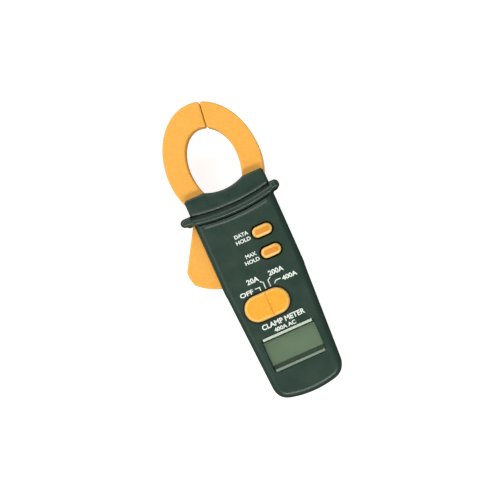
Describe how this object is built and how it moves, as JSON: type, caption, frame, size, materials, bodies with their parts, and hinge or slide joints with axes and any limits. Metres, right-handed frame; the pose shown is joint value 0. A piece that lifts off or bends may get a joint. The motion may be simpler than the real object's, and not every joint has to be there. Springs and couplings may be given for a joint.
{
  "type": "clamp meter",
  "caption": "Pocket clamp meter with oval sprung jaws, side trigger, slide range switch, push buttons, a display window and a slide-off battery cover.",
  "frame": {"origin": "a point on the flat back face, on the body's centre line; the meter lies on its back", "axes": "+Y along the body towards the jaws, +X to the right as the display is read, +Z out of the display"},
  "size_m": [0.0578, 0.1496, 0.026],
  "materials": {
    "case_plastic": "dark green moulded plastic, satin",
    "jaw_plastic": "orange moulded plastic, satin",
    "control_plastic": "orange moulded plastic, a little more saturated",
    "window_clear": "clear moulded window",
    "display_glass": "grey-green display",
    "black_plastic": "black moulded plastic",
    "strip_rubber": "elastomer",
    "board_laminate": "green laminate",
    "steel": "plated steel",
    "core_iron": "laminated iron",
    "brass": "plain",
    "copper_wire": "enamelled copper wire",
    "cell_sleeve": "plain printed sleeve"
  },
  "bodies": {
    "meter_body": {"front_case": "case_plastic", "rear_case": "case_plastic", "case_screw_upper": "steel", "case_screw_left": "steel", "case_screw_right": "steel", "fixed_jaw_front_shell": "jaw_plastic", "fixed_jaw_rear_shell": "jaw_plastic", "fixed_jaw_core": "core_iron", "coil_bobbin": "black_plastic", "coil_winding": "copper_wire", "coil_lead_left": "copper_wire", "coil_lead_right": "copper_wire", "jaw_pivot_pin": "steel", "jaw_return_spring": "steel", "circuit_board": "board_laminate", "main_chip": "black_plastic", "quartz_crystal": "steel", "filter_capacitor": "black_plastic", "range_contacts": "brass", "data_hold_switch": "steel", "max_hold_switch": "steel", "lcd_window": "window_clear", "lcd_panel": "display_glass", "lcd_frame": "black_plastic", "display_strip_upper": "strip_rubber", "display_strip_lower": "strip_rubber", "board_screw_left": "steel", "board_screw_right": "steel", "cell_left": "cell_sleeve", "cell_right": "cell_sleeve", "cell_spring_left": "steel", "cell_spring_right": "steel", "cell_link_plate": "steel", "cell_end_plate_left": "steel", "cell_end_plate_right": "steel"},
    "jaw_lever": {"moving_jaw_front_shell": "jaw_plastic", "moving_jaw_rear_shell": "jaw_plastic", "moving_jaw_core": "core_iron", "pivot_bush": "brass"},
    "range_slider": {"range_knob": "control_plastic", "wiper_carrier": "black_plastic", "wiper_contact": "brass"},
    "data_hold_key": {"data_hold_button": "control_plastic", "data_hold_plunger": "black_plastic"},
    "max_hold_key": {"max_hold_button": "control_plastic", "max_hold_plunger": "black_plastic"},
    "battery_door": {"battery_cover": "case_plastic"}
  },
  "joints": [
    {"name": "jaw_hinge", "type": "hinge", "parent": "meter_body", "child": "jaw_lever", "pos_m": [-0.013, 0.0125, 0.013], "axis": [0, 0, 1], "range_deg": [0, 22], "stiffness_Nm_per_rad": 0.6, "springref_deg": -28.65, "deforming": ["jaw_return_spring"]},
    {"name": "range_slide", "type": "slide", "parent": "meter_body", "child": "range_slider", "axis": [1, 0, 0], "range_m": [0, 0.0076]},
    {"name": "data_hold_press", "type": "slide", "parent": "meter_body", "child": "data_hold_key", "axis": [0, 0, -1], "range_m": [0, 0.0008], "stiffness_N_per_m": 1000, "springref_m": -0.0005},
    {"name": "max_hold_press", "type": "slide", "parent": "meter_body", "child": "max_hold_key", "axis": [0, 0, -1], "range_m": [0, 0.0008], "stiffness_N_per_m": 1000, "springref_m": -0.0005},
    {"name": "battery_cover_slide", "type": "slide", "parent": "meter_body", "child": "battery_door", "axis": [0, -1, 0], "range_m": [0, 0.054]}
  ]
}
